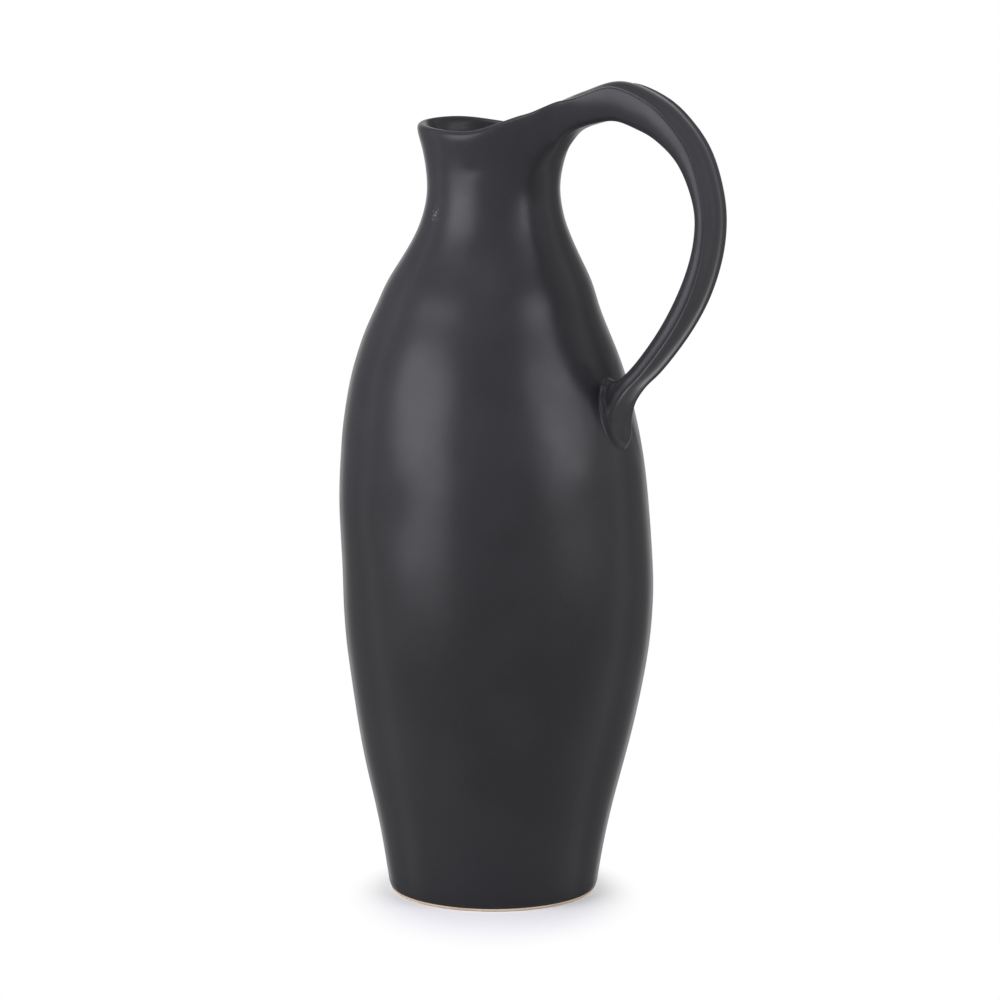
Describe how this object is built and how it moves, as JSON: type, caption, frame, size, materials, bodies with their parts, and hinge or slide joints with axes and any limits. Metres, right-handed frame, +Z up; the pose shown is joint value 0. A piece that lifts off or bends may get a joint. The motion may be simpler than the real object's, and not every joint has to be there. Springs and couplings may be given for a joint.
{
  "type": "jug",
  "caption": "Tall handled stoneware jug with a narrow neck, a drawn-out pouring mouth, an arched strap handle with a leaf-shaped lower pad, and a bare clay foot.",
  "frame": {"origin": "middle of the foot ring's flat base, on the ground", "axes": "+Z up the jug, +X towards the handle, -X towards the pouring lip"},
  "size_m": [0.2063, 0.1592, 0.4219],
  "materials": {
    "glaze": "satin charcoal glaze, slightly mottled, thin and lighter on ridges and rim",
    "bare_clay": "fired tan stoneware, matt and slightly gritty"
  },
  "bodies": {
    "root": {"foot_ring": "bare_clay", "floor_disc": "bare_clay", "lower_wall": "glaze", "shoulder_wall": "glaze", "neck": "glaze", "handle_root": "glaze", "handle_strap": "glaze", "handle_terminal": "glaze"}
  },
  "joints": []
}
